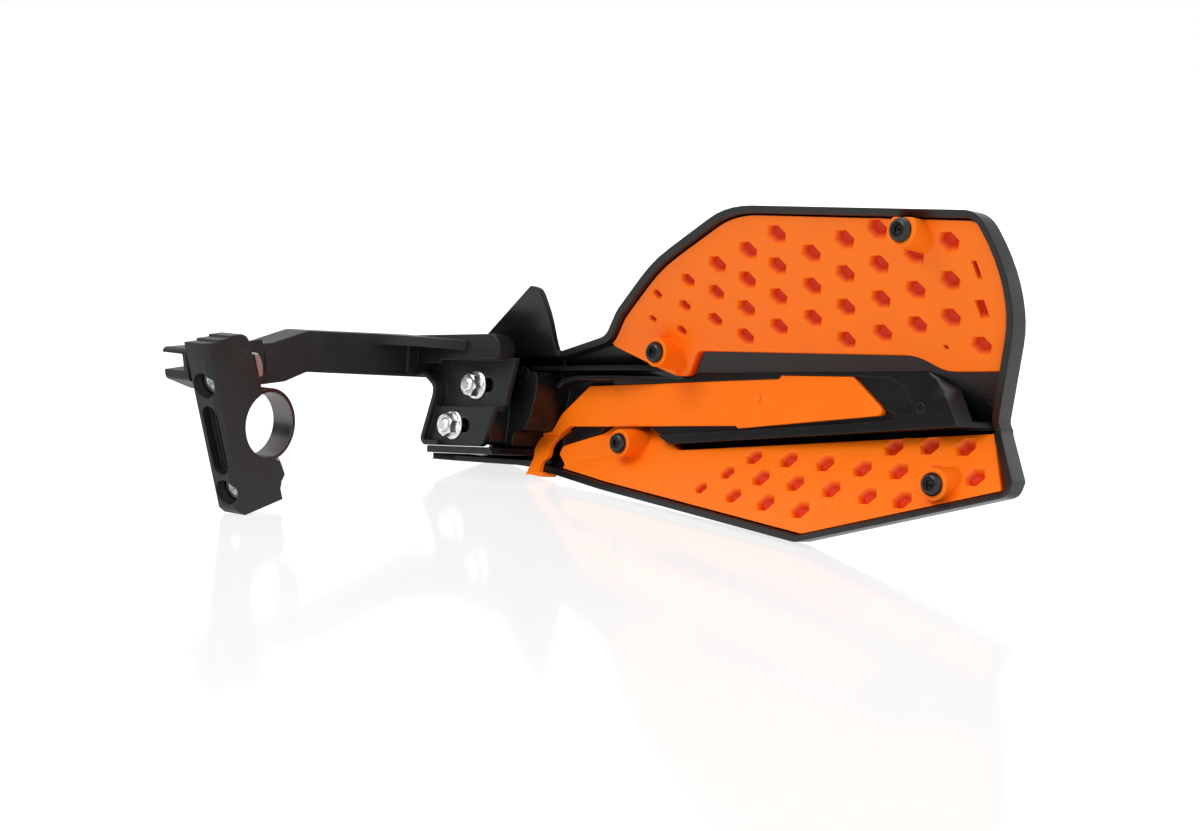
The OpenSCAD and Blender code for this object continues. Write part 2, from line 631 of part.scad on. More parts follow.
// Plate with its recesses as the first child, and what else is moulded on it
module vent_panel(field, upper) {
    color(orange) shield_frame() difference() {
        union() {
            difference() {
                intersection() {
                    panel_area(field);
                    band(0, panel_t - fit);
                }
                children(0);
            }
            for (s = screws) if (s[3] == upper) panel_boss(s);
            children(1);
        }
        for (s = screws) if (s[3] == upper) {
            peg(s[0], s[1], boss_top(s) + cup_top, far, post_d + 2 * fit);
            peg(s[0], s[1], -far, far, screw_d + 2 * bolt_play);
        }
    }
}
module panel_boss(s) {
    top = boss_top(s);
    intersection() {
        translate([s[0], top, s[1]]) rotate([-90, 0, 0])
            cylinder(h = 3 * boss_d, d1 = boss_d, d2 = boss_d * (1 + 3 * boss_taper), $fn = round_fn);
        rider_side(panel_t - fit);
        outline_block(inset(shield_outline, rim_w + panel_gap), -far / 2, far / 2);
    }
}
// Raised land beside a boss: it climbs from a fold line in the face to the panel's edge
module land(field, area, a, b, c) {
    difference() {
        intersection() {
            panel_area(field);
            outline_block(area);
            band(-boss_h / 2, panel_t / 2);
        }
        beyond(a, b, c);
    }
}
upper_land = [[30, 35.2, 0.5], [66, 34.8, 0.5], [76, 30, 0.5], [76, 10, 0.5], [30, 10, 0.5]];
lower_land = [[-20, -22.4, 0.5], [-2.5, -20, 0.5], [28, -16.7, 0.5], [40, -14.5, 0.5], [43, -8, 0.5],
    [43, 4, 0.5], [-20, 4, 0.5]];
function raised(p, h, upper) = [p[0], face_y(p[1], upper) - h, p[1]];
module upper_panel() {
    vent_panel(upper_field, true) {
        upper_pits();
        land(upper_field, reversed(upper_land), raised([70, 24], 2.4, true), raised([66, 34.8], 0, true),
            raised([42.7, 35], 0, true));
    }
}
module lower_panel() {
    vent_panel(lower_field, false) {
        lower_pits();
        land(lower_field, lower_land, raised([-2.5, -20], 0, false), raised([40, -14.5], 0, false),
            raised([26, -3], 3.4, false));
    }
}

tongue_end = -26.4;
module centre_trim() {
    over = rim_h + fit;
    color(orange) shield_frame() {
        intersection() {
            outline_block(trim_outline, beam_y - 0.2, trim_back);
            rider_side(shell_face - 2 * fit);
        }
        // Tongue that runs down over the lower rim and hooks round its edge
        intersection() {
            outline_block(tongue_outline);
            union() {
                intersection() {
                    band(-over - 2.4, -over);
                    translate([-far, -far, tongue_end]) cube([2 * far, 2 * far, -4.5 - tongue_end]);
                }
                translate([-far, beam_y - 0.2, -7]) cube([2 * far, 3.5, 12]);
            }
        }
        intersection() {
            outline_block([[-4.2, -27.4, 0.3], [-12.8, -26.2, 0.3], [-12.8, -24, 0.3], [-4.2, -25.4, 0.3]]);
            along(-far, far) polygon([[-23.4, -40], [-14, -40], [-14, 0], [-23.4, 0]]);
        }
    }
}

module bracket_bolt(b) {
    color(zinc) shield_frame() {
        hex_peg(b[0], b[1], head_seat + 1.6 + 1.2, head_seat + 1.6 + bolt_d * 0.95, bolt_d * 0.95);
        peg(b[0], b[1], head_seat + 1.6, head_seat + 1.6 + 1.4, bolt_d * 2.3);
        peg(b[0], b[1], b[2] - bolt_d - 1.2, head_seat + 2, bolt_d);
    }
}
module flange_nut(b) {
    color(zinc) shield_frame() difference() {
        union() {
            peg(b[0], b[1], b[2] - 1.3, b[2], bolt_d * 2.36);
            hex_peg(b[0], b[1], b[2] - bolt_d, b[2] - 1, bolt_d * 0.96);
        }
        peg(b[0], b[1], b[2] - bolt_d - 1, b[2] + 1, bolt_d);
    }
}
module washer(b) {
    color(zinc) shield_frame() difference() {
        peg(b[0], b[1], head_seat, head_seat + 1.6, 15);
        peg(b[0], b[1], head_seat - 1, head_seat + 3, bolt_d + 2 * bolt_play);
    }
}

arm();
clamp_strap();
clamp_bolt(upper_u);  // upper_clamp_bolt
clamp_bolt(lower_u);  // lower_clamp_bolt
clamp_nut(upper_u);  // upper_clamp_nut
clamp_nut(lower_u);  // lower_clamp_nut
shield_shell();
spine();
upper_panel();
lower_panel();
centre_trim();
panel_screw(screws[0]);  // upper_inner_screw
panel_screw(screws[1]);  // upper_outer_screw
panel_screw(screws[2]);  // lower_inner_screw
panel_screw(screws[3]);  // lower_outer_screw
threaded_insert(screws[0]);  // upper_inner_insert
threaded_insert(screws[1]);  // upper_outer_insert
threaded_insert(screws[2]);  // lower_inner_insert
threaded_insert(screws[3]);  // lower_outer_insert
bracket_bolt(bracket_bolts[0]);  // upper_bracket_bolt
bracket_bolt(bracket_bolts[1]);  // lower_bracket_bolt
flange_nut(bracket_bolts[0]);  // upper_flange_nut
flange_nut(bracket_bolts[1]);  // lower_flange_nut
washer(bracket_bolts[0]);  // upper_washer
washer(bracket_bolts[1]);  // lower_washer
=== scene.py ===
"""Looks of a motorcycle hand guard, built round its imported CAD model.

The mouldings are the CAD parts with rounded corners, the fasteners are turned and cut anew, and
every piece has a procedural finish. Sizes are in metres, in the CAD model's own frame, unless a
comment or docstring says millimetres or degrees.
"""

import logging
import math
from collections.abc import Sequence
from dataclasses import dataclass, field
from enum import Enum
from typing import Any, ClassVar

import bmesh
import bpy
from mathutils import Euler, Matrix, Vector
from mathutils.kdtree import KDTree

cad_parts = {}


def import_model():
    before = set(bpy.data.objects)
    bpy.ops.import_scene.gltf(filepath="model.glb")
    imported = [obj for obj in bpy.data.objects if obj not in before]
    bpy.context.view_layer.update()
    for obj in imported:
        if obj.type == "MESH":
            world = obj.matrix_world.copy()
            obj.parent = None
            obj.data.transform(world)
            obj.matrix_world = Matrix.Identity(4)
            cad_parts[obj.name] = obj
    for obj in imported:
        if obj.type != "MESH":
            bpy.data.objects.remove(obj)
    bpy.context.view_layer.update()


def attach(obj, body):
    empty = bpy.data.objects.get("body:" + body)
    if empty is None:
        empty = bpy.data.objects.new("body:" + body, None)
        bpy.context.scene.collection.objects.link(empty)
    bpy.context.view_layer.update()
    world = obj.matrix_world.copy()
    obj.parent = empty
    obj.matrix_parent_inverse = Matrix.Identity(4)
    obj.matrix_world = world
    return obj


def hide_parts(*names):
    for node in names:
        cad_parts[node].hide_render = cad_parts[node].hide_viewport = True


LOG = logging.getLogger("hand_guard")
MM = 0.001
Colour = tuple[float, float, float]
Place = tuple[float, float, float]

# The shield's place in millimetres, its turn in degrees and how its wings tilt in its frame
SHIELD_PLACE = (74.1, 143.7, -11.8)
SHIELD_TURN = (-9.0, -6.0, -10.0)
UPPER_TILT = 36.0
LOWER_TILT = -37.0
# How far the clamp block leans, in degrees
BLOCK_LEAN = 12.5
# Edges over these angles are sharp, in degrees: rounded on a moulding, creased on a turned piece
MOULDED_SHARP = 46.0
TURNED_SHARP = 28.0
# Sockets of a Mix node that mixes colours, by index
MIX_SHARE, MIX_FIRST, MIX_SECOND, MIX_RESULT = 0, 6, 7, 2


class Edge(Enum):
    """How far a moulding's corners are rounded, in metres."""

    CRISP = 0.25 * MM
    SOFT = 0.4 * MM
    ROUND = 0.6 * MM


class Section(Enum):
    """The shape of a ring of a turned piece, by its number of flats."""

    ROUND = 0
    SQUARE = 4
    HEXAGON = 6


class Socket:
    """A node's output or a number, with arithmetic that adds Math nodes."""

    def __init__(self, maker: "Finish", value: Any) -> None:
        """Wraps a value.

        Args:
            maker: The finish whose node tree the arithmetic is added to.
            value: An output socket or a number.
        """
        self.maker = maker
        self.value = value

    def _math(self, operation: str, *values: Any) -> "Socket":
        """Adds a Math node.

        Args:
            operation: The Math node's operation.
            values: Its inputs, in order.

        Returns:
            The node's output.
        """
        return self.maker.node("ShaderNodeMath", {"operation": operation}, dict(enumerate(values)))

    def __add__(self, other: Any) -> "Socket":
        """Adds a socket or a number."""
        return self._math("ADD", self, other)

    def __sub__(self, other: Any) -> "Socket":
        """Subtracts a socket or a number."""
        return self._math("SUBTRACT", self, other)

    def __mul__(self, other: Any) -> "Socket":
        """Multiplies by a socket or a number."""
        return self._math("MULTIPLY", self, other)

    def clamped(
        self, low: float, high: float, to_low: float = 0.0, to_high: float = 1.0
    ) -> "Socket":
        """Maps a range on to another and holds it inside.

        Args:
            low: The value that gives to_low.
            high: The value that gives to_high.
            to_low: The first result.
            to_high: The last result.

        Returns:
            The mapped value.
        """
        return self.maker.node(
            "ShaderNodeMapRange", {}, {0: self, 1: low, 2: high, 3: to_low, 4: to_high}
        )


@dataclass(frozen=True)
class Finish:
    """A procedural finish on the Principled shader.

    Attributes:
        name: The material's name.
        colour: Its base colour.
        roughness: Its mean roughness.
        metallic: 1 for bare metal.
        spread: How much the roughness varies over the surface.
        grain: Size of the surface grain.
        depth: Height of the grain.
        tone: How much the colour varies, as a share.
        specular: Specular level of the shader.
        glow: Light that the surface gives off itself, as on a light table.
    """

    name: str
    colour: Colour
    roughness: float = 0.45
    metallic: float = 0.0
    spread: float = 0.08
    grain: float = 0.5 * MM
    depth: float = 0.02 * MM
    tone: float = 0.06
    specular: float = 0.5
    glow: float = 0.0
    _trees: ClassVar[dict[str, Any]] = {}

    def node(
        self, kind: str, settings: dict[str, Any], values: dict[Any, Any], output: int | str = 0
    ) -> Socket:
        """Adds a node.

        Args:
            kind: The node's type.
            settings: The properties that are set first.
            values: Values or links by the socket's index or name.
            output: The output that is wanted, by index or name.

        Returns:
            That output.
        """
        made = self._trees[self.name].nodes.new(kind)
        for key, value in settings.items():
            setattr(made, key, value)
        for key, value in values.items():
            self.put(made.inputs[key], value)
        return Socket(self, made.outputs[output])

    def put(self, socket: bpy.types.NodeSocket, value: Any) -> None:
        """Sets or links an input.

        Args:
            socket: The input.
            value: A number, a colour, an output or a wrapped one.
        """
        if isinstance(value, Socket):
            value = value.value
        if isinstance(value, bpy.types.NodeSocket):
            self._trees[self.name].links.new(value, socket)
        elif socket.type == "RGBA" and len(value) == 3:
            socket.default_value = (*value, 1.0)
        else:
            socket.default_value = value

    def place(self) -> Socket:
        """Adds the Object coordinates.

        Returns:
            The place on the surface.
        """
        return self.node("ShaderNodeTexCoord", {}, {}, "Object")

    def noise(self, size: float, detail: float = 2.0, rough: float = 0.5) -> Socket:
        """Adds noise on Object coordinates.

        Args:
            size: The size of one patch.
            detail: The noise's octaves.
            rough: The weight of the fine octaves.

        Returns:
            Noise from 0 to 1.
        """
        return self.node(
            "ShaderNodeTexNoise",
            {},
            {"Vector": self.place(), "Scale": 1 / size, "Detail": detail, "Roughness": rough},
        )

    def mix(self, share: Any, first: Any, second: Any) -> Socket:
        """Mixes two colours.

        Args:
            share: The share of the second one.
            first: The first colour.
            second: The second colour.

        Returns:
            The mixed colour.
        """
        values = {MIX_SHARE: share, MIX_FIRST: first, MIX_SECOND: second}
        return self.node("ShaderNodeMix", {"data_type": "RGBA"}, values, MIX_RESULT)

    def bump(self, height: Socket, depth: float) -> Socket:
        """Adds a bump.

        Args:
            height: The height from 0 to 1.
            depth: What 1 stands for.

        Returns:
            The bumped normal.
        """
        values = {"Strength": 1.0, "Distance": depth, "Height": height}
        return self.node("ShaderNodeBump", {}, values)

    def relief(self) -> Socket:
        """Works out the small relief of the surface.

        Returns:
            The bumped normal.
        """
        return self.bump(self.noise(size=self.grain), self.depth)

    def surface(self) -> dict[str, Any]:
        """Works out what varies over the surface.

        Returns:
            Values for the shader's sockets by name.
        """
        patches = self.noise(size=14 * MM, detail=3.0)
        dark = tuple(c * (1 - self.tone) for c in self.colour)
        light = tuple(min(1.0, c * (1 + self.tone)) for c in self.colour)
        change = patches.clamped(low=0.3, high=0.7, to_low=-self.spread, to_high=self.spread)
        return {
            "Base Color": self.mix(patches.clamped(low=0.35, high=0.65), dark, light),
            "Roughness": change + self.roughness,
            "Normal": self.relief(),
        }

    def material(self) -> bpy.types.Material:
        """Builds the material once.

        Returns:
            The material.
        """
        known = bpy.data.materials.get(self.name)
        if known:
            return known
        made = bpy.data.materials.new(self.name)
        made.use_nodes = True
        self._trees[self.name] = made.node_tree
        shader = made.node_tree.nodes["Principled BSDF"]
        shader.inputs["Metallic"].default_value = self.metallic
        shader.inputs["Specular IOR Level"].default_value = self.specular
        shader.inputs["Emission Color"].default_value = (1.0, 1.0, 1.0, 1.0)
        shader.inputs["Emission Strength"].default_value = self.glow
        for key, value in self.surface().items():
            self.put(shader.inputs[key], value)
        made.diffuse_color = (*self.colour, 1.0)
        return made


@dataclass(frozen=True)
class Moulded(Finish):
    """A moulded plastic with a fine spark grain and places that are rubbed smoother.

    Attributes:
        fine: Size of the sparks' own grain.
    """

    fine: float = 0.16 * MM

    def relief(self) -> Socket:
        """Works out the small relief of the surface.

        Returns:
            The bumped normal.
        """
        coarse = self.noise(size=self.grain, detail=3.0, rough=0.6)
        sparks = self.noise(size=self.fine, detail=1.0)
        return self.bump(coarse * 0.6 + sparks * 0.4, self.depth)

    def surface(self) -> dict[str, Any]:
        """Works out what varies over the surface.

        Returns:
            Values for the shader's sockets by name.
        """
        made = super().surface()
        rubbed = self.noise(size=30 * MM, detail=4.0, rough=0.6)
        polish = rubbed.clamped(low=0.45, high=0.75, to_low=0.0, to_high=-0.5 * self.spread)
        made["Roughness"] = made["Roughness"] + polish
        return made


@dataclass(frozen=True)
class PaintedPitShade(Moulded):
    """A moulded plastic with painted shade: its colour darkens inside the recesses of its face.

    Attributes:
        deep: The colour of the painted shade at the recesses' floor.
        tilt: How far the face is tilted in the shield's frame, in degrees.
        floor: How deep the recesses are.
    """

    deep: Colour = (0.66, 0.03, 0.0)
    tilt: float = UPPER_TILT
    floor: float = 3.0 * MM

    def surface(self) -> dict[str, Any]:
        """Works out what varies over the surface.

        Returns:
            Values for the shader's sockets by name.
        """
        made = super().surface()
        frame = shield_frame()
        lean = math.radians(self.tilt)
        inwards = frame.to_3x3() @ Vector((0.0, math.cos(lean), math.sin(lean)))
        values = {0: self.place(), 1: inwards}
        along = self.node("ShaderNodeVectorMath", {"operation": "DOT_PRODUCT"}, values, "Value")
        depth = along - inwards.dot(frame.translation)
        # Painted shade: the orange darkens towards deep red with depth under the face, into the
        # pits' floors
        share = depth.clamped(low=0.15 * MM, high=0.75 * self.floor)
        made["Base Color"] = self.mix(share, made["Base Color"], self.deep)
        return made


@dataclass(frozen=True)
class Plated(Finish):
    """A plating or blacking with small cloudy patches.

    Attributes:
        cloud: Size of a patch.
        dull: How bright the duller patches are, as a share.
    """

    cloud: float = 4.0 * MM
    dull: float = 0.88

    def surface(self) -> dict[str, Any]:
        """Works out what varies over the surface.

        Returns:
            Values for the shader's sockets by name.
        """
        made = super().surface()
        clouds = self.noise(size=self.cloud, detail=4.0, rough=0.6)
        dull = tuple(c * self.dull for c in self.colour)
        haze = clouds.clamped(low=0.4, high=0.65, to_low=0.05, to_high=-0.03)
        made["Base Color"] = self.mix(clouds.clamped(low=0.38, high=0.62), dull, self.colour)
        made["Roughness"] = made["Roughness"] + haze
        return made


@dataclass(frozen=True)
class Brushed(Finish):
    """A rolled steel strip with fine lines along its length, which runs across X.

    Attributes:
        line: Width of one line.
        drift: How often the lines change along the strip, for each metre.
    """

    line: float = 0.25 * MM
    drift: float = 30.0

    def lines(self) -> Socket:
        """Adds the lines.

        Returns:
            Their height from 0 to 1.
        """
        scale = (1 / self.line, self.drift, self.drift)
        drawn = self.node("ShaderNodeMapping", {}, {"Vector": self.place(), "Scale": scale})
        values = {"Vector": drawn, "Scale": 1.0, "Detail": 3.0}
        return self.node("ShaderNodeTexNoise", {}, values)

    def relief(self) -> Socket:
        """Works out the small relief of the surface.

        Returns:
            The bumped normal.
        """
        return self.bump(self.lines(), self.depth)

    def surface(self) -> dict[str, Any]:
        """Works out what varies over the surface.

        Returns:
            Values for the shader's sockets by name.
        """
        made = super().surface()
        change = self.lines().clamped(low=0.3, high=0.7, to_low=-0.08, to_high=0.1)
        made["Roughness"] = made["Roughness"] + change
        return made


BLACK_MOULDING = Moulded(
    "black_moulding", (0.0052, 0.0054, 0.006), 0.32, spread=0.02, tone=0.15, specular=0.38
)
ARM_MOULDING = Moulded(
    "arm_moulding", (0.011, 0.0132, 0.0152), 0.46, spread=0.05, tone=0.12, specular=0.35
)
ORANGE: dict[str, Any] = {
    "colour": (0.96, 0.178, 0.003),
    "roughness": 0.42,
    "spread": 0.05,
    "depth": 0.012 * MM,
    "tone": 0.02,
    "specular": 0.22,
}
ORANGE_MOULDING = Moulded("orange_moulding", **ORANGE)
# The panels' orange, with painted shade in their pits
UPPER_ORANGE_PAINTED_SHADE = PaintedPitShade("upper_orange_painted_shade", **ORANGE)
LOWER_ORANGE_PAINTED_SHADE = PaintedPitShade("lower_orange_painted_shade", **ORANGE, tilt=LOWER_TILT)
ZINC_PLATE = Plated(
    "zinc_plate", (0.95, 0.96, 0.98), 0.27, metallic=1.0, spread=0.03, depth=0.003 * MM
)
BARE_STRIP = Brushed(
    "bare_strip", (0.17, 0.16, 0.16), 0.36, metallic=1.0, spread=0.05, tone=0.08
)
COATED_STRIP = Moulded("coated_strip", (0.008, 0.008, 0.008), 0.3, spread=0.05, depth=0.01 * MM)
DULL_ZINC = Plated("dull_zinc", (0.42, 0.43, 0.44), 0.42, metallic=1.0, spread=0.06)
BLACK_SCREW = Plated("black_screw", (0.012, 0.012, 0.013), 0.2, metallic=0.2, spread=0.06)
MACHINED_BRASS = Finish("machined_brass", (0.72, 0.5, 0.2), 0.3, metallic=1.0)
PALE_FLOOR = Finish(
    "pale_floor", (0.17, 0.17, 0.17), 0.1, spread=0.0, depth=0.0, tone=0.0, specular=0.4, glow=0.75
)
DARK_CARD = Finish(
    "dark_card", (0.05, 0.05, 0.05), 0.8, spread=0.0, depth=0.0, tone=0.0, specular=0.1
)


def shown(piece: bpy.types.Object, finish: Finish, replaced: Sequence[str]) -> None:
    """Puts a finished piece on the object.

    Args:
        piece: The piece.
        finish: Its finish, unless it already has its own.
        replaced: The CAD nodes it stands for.
    """
    if not piece.data.materials:
        piece.data.materials.append(finish.material())
    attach(piece, "root")
    if replaced:
        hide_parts(*replaced)
    LOG.info("%s: %d faces, %s", piece.name, len(piece.data.polygons), finish.name)


def piece_of(
    bm: bmesh.types.BMesh, name: str, sharp_above: float = MOULDED_SHARP
) -> bpy.types.Object:
    """Makes an object of a bmesh.

    Args:
        bm: The mesh, which is freed.
        name: The object's name.
        sharp_above: Edges under this angle are shaded smooth, in degrees.

    Returns:
        The object.
    """
    limit = math.radians(sharp_above)
    for face in bm.faces:
        face.smooth = True
    for edge in bm.edges:
        edge.smooth = edge.is_manifold and edge.calc_face_angle(0.0) < limit
    mesh = bpy.data.meshes.new(name)
    bm.to_mesh(mesh)
    bm.free()
    made = bpy.data.objects.new(name, mesh)
    bpy.context.scene.collection.objects.link(made)
    flats = made.modifiers.new("flats", "WEIGHTED_NORMAL")
    flats.keep_sharp = True
    return made


def shield_frame() -> Matrix:
    """Gives the shield's own frame.

    Returns:
        Its place and turn in the object's frame.
    """
    turn = Euler([math.radians(a) for a in SHIELD_TURN], "XYZ").to_matrix().to_4x4()
    return Matrix.Translation(Vector(SHIELD_PLACE) * MM) @ turn


def block_frame() -> Matrix:
    """Gives the clamp block's frame, leaned with it.

    Returns:
        Its turn in the object's frame.
    """
    return Matrix.Rotation(math.radians(BLOCK_LEAN), 4, "X")


def face_y(z: float, upper: bool) -> float:
    """Gives where the panels' face lies in the shield's frame.

    Args:
        z: Height in millimetres.
        upper: True on the upper wing.

    Returns:
        The depth in millimetres.
    """
    return -z * math.tan(math.radians(UPPER_TILT if upper else LOWER_TILT))


@dataclass
class Flats:
    """Fills a mesh's flat areas afresh, so that a moved corner leaves no folded triangle.

    Attributes:
        bm: The mesh.
        level: How far a point may lie from the plane.
        along: The least cosine between the normals of two faces in one plane.
        smallest: No flat area is sought round a face under this area.
        slack: How far the area may change, as a share.
        speck: An area too small to count.
    """

    bm: bmesh.types.BMesh
    level: float = 0.02 * MM
    along: float = math.cos(math.radians(0.4))
    smallest: float = 0.5 * MM * MM
    slack: float = 0.002
    speck: float = 0.001 * MM * MM

    def area(self, seed: bmesh.types.BMFace) -> list[bmesh.types.BMFace]:
        """Gathers the faces that lie in one plane with a face, folded ones among them.

        Args:
            seed: The face.

        Returns:
            The faces.
        """
        normal, foot = seed.normal.copy(), seed.verts[0].co.copy()
        found, waiting = {seed: True}, [seed]
        while waiting:
            for edge in waiting.pop().edges:
                for face in edge.link_faces:
                    turned = face.calc_area() > 0 and abs(face.normal.dot(normal)) < self.along
                    if face in found or turned:
                        continue
                    if all(abs((v.co - foot).dot(normal)) < self.level for v in face.verts):
                        found[face] = True
                        waiting.append(face)
        return list(found)

    def refill(self, faces: list[bmesh.types.BMFace], normal: Vector) -> None:
        """Fills one flat area afresh from its outline, or leaves it where that can't be done.

        Args:
            faces: Its faces.
            normal: The way it looks.
        """
        inside = set(faces)
        around = dict.fromkeys(edge for face in faces for edge in face.edges)
        outline = [e for e in around if sum(f in inside for f in e.link_faces) == 1]
        wanted = sum(math.copysign(f.calc_area(), f.normal.dot(normal)) for f in faces)
        kept = [list(f.verts) for f in faces]
        bmesh.ops.delete(self.bm, geom=faces, context="FACES")
        outline = [e for e in outline if e.is_valid]
        filled = bmesh.ops.triangle_fill(self.bm, edges=outline, use_beauty=True, normal=normal)
        new = [g for g in filled["geom"] if isinstance(g, bmesh.types.BMFace)]
        change = abs(sum(f.calc_area() for f in new) - wanted)
        if change > self.slack * wanted + self.speck:
            bmesh.ops.delete(self.bm, geom=new, context="FACES")
            new = [self.bm.faces.new(verts) for verts in kept if all(v.is_valid for v in verts)]
            for face in new:
                face.normal_update()
            return
        for face in new:
            face.normal_update()
            if face.normal.dot(normal) < 0:
                face.normal_flip()

    def run(self) -> None:
        """Fills every flat area that holds more than one triangle."""
        self.bm.normal_update()
        done: set[bmesh.types.BMFace] = set()
        for seed in sorted(self.bm.faces, key=lambda f: -f.calc_area()):
            if not seed.is_valid or seed in done or seed.calc_area() < self.smallest:
                continue
            normal = seed.normal.copy()
            faces = [f for f in self.area(seed) if f not in done]
            if len(faces) < 3 or sum(f.calc_area() * f.normal.dot(normal) for f in faces) <= 0:
                done.update(faces)
                continue
            before = set(self.bm.faces) - set(faces)
            self.refill(faces, normal)
            done.update(set(self.bm.faces) - before)


@dataclass
class Moulding:
    """A CAD moulding with its corners rounded.

    Attributes:
        node: The CAD node.
        finish: The finish.
        slot: A material slot's name; not used.
        edge: How far its corners are rounded.
        merged: Points nearer than this are joined first, so that tiny arcs become one corner.
        weld: Points nearer than this are one point that the import split.
        sliver: Edges shorter than this are closed up.
        touch: Points nearer than this are one point after the rounding.
        spacing: How far apart the points along a corner are.
        stray: A point farther from its corner than this many roundings has run off.
    """

    node: str
    finish: Finish
    slot: str
    edge: Edge = Edge.SOFT
    merged: float = 0.26 * MM
    weld: ClassVar[float] = 0.005 * MM
    sliver: ClassVar[float] = 0.01 * MM
    touch: ClassVar[float] = 0.001 * MM
    spacing: ClassVar[float] = 0.3 * MM
    stray: ClassVar[float] = 1.7

    def corners(self, bm: bmesh.types.BMesh) -> tuple[list[bmesh.types.BMEdge], KDTree]:
        """Finds the corners and points along them.

        Args:
            bm: The merged mesh.

        Returns:
            The edges, and a tree of points that lie on them.
        """
        limit = math.radians(MOULDED_SHARP)
        found = [e for e in bm.edges if e.is_manifold and e.calc_face_angle(0.0) > limit]
        points = []
        for edge in found:
            a, b = (v.co.copy() for v in edge.verts)
            count = 1 + int((b - a).length / self.spacing)
            points += [a.lerp(b, k / count) for k in range(count + 1)]
        tree = KDTree(len(points))
        for index, point in enumerate(points):
            tree.insert(point, index)
        tree.balance()
        return found, tree

    def build(self) -> bpy.types.Object:
        """Builds the rounded copy.

        Returns:
            The piece.
        """
        width = self.edge.value
        bm = bmesh.new()
        bm.from_mesh(bpy.data.objects[self.node].data)
        bmesh.ops.remove_doubles(bm, verts=bm.verts, dist=self.weld)
        bmesh.ops.remove_doubles(bm, verts=bm.verts, dist=self.merged)
        bmesh.ops.dissolve_degenerate(bm, dist=self.sliver, edges=bm.edges)
        edges, tree = self.corners(bm)
        made = bmesh.ops.bevel(
            bm,
            geom=edges,
            offset=width,
            offset_type="OFFSET",
            affect="EDGES",
            segments=3,
            profile=0.5,
            material=-1,
            clamp_overlap=False,
            loop_slide=True,
        )
        # Where a corner is shorter than its rounding, a point can run off: it goes back to it
        for vert in {v for v in made["verts"] if v.is_valid}:
            near, _, away = tree.find(vert.co)
            if away > self.stray * width:
                vert.co = near
        bmesh.ops.remove_doubles(bm, verts=bm.verts, dist=self.touch)
        Flats(bm).run()
        bmesh.ops.holes_fill(bm, edges=[e for e in bm.edges if e.is_boundary], sides=0)
        piece = piece_of(bm, f"{self.node}_moulding")
        self.dress(piece)
        shown(piece, self.finish, [self.node])
        return piece

    def dress(self, piece: bpy.types.Object) -> None:
        """Gives the piece finishes that differ from face to face, where it has any.

        Args:
            piece: The rounded piece.
        """


@dataclass
class Strap(Moulding):
    """The strap round the bar, coated black and rubbed bare inside.

    Attributes:
        bore: Radius of the bar it grips.
    """

    bore: float = 14.3 * MM

    def dress(self, piece: bpy.types.Object) -> None:
        """Gives the face that grips the bar its bare finish and the others the coat.

        Args:
            piece: The rounded strap.
        """
        piece.data.materials.append(COATED_STRIP.material())
        piece.data.materials.append(self.finish.material())
        reach, facing = self.bore + 0.3 * MM, -0.6
        for face in piece.data.polygons:
            out = Vector((0.0, face.center.y, face.center.z))
            inside = out.length < reach and face.normal.dot(out.normalized()) < facing
            face.material_index = int(inside)


@dataclass
class Ring:
    """One ring of a turned piece.

    Attributes:
        along: Its place along the axis, in millimetres.
        radius: Its radius, over the corners where it has flats.
        section: Round or with flats.
        cone: How far it drops for each millimetre that its outline stands inside the corners.
    """

    along: float
    radius: float
    section: Section = Section.ROUND
    cone: float = 0.0

    def shaped(self, angle: float) -> tuple[float, float]:
        """Gives the outline at an angle.

        Args:
            angle: The angle round the axis.

        Returns:
            The radius there and the place along the axis.
        """
        if self.section is Section.ROUND:
            return self.radius, self.along
        flat = 2 * math.pi / self.section.value
        out = self.radius * math.cos(flat / 2) / math.cos((angle % flat) - flat / 2)
        return out, self.along + self.cone * (self.radius - out)


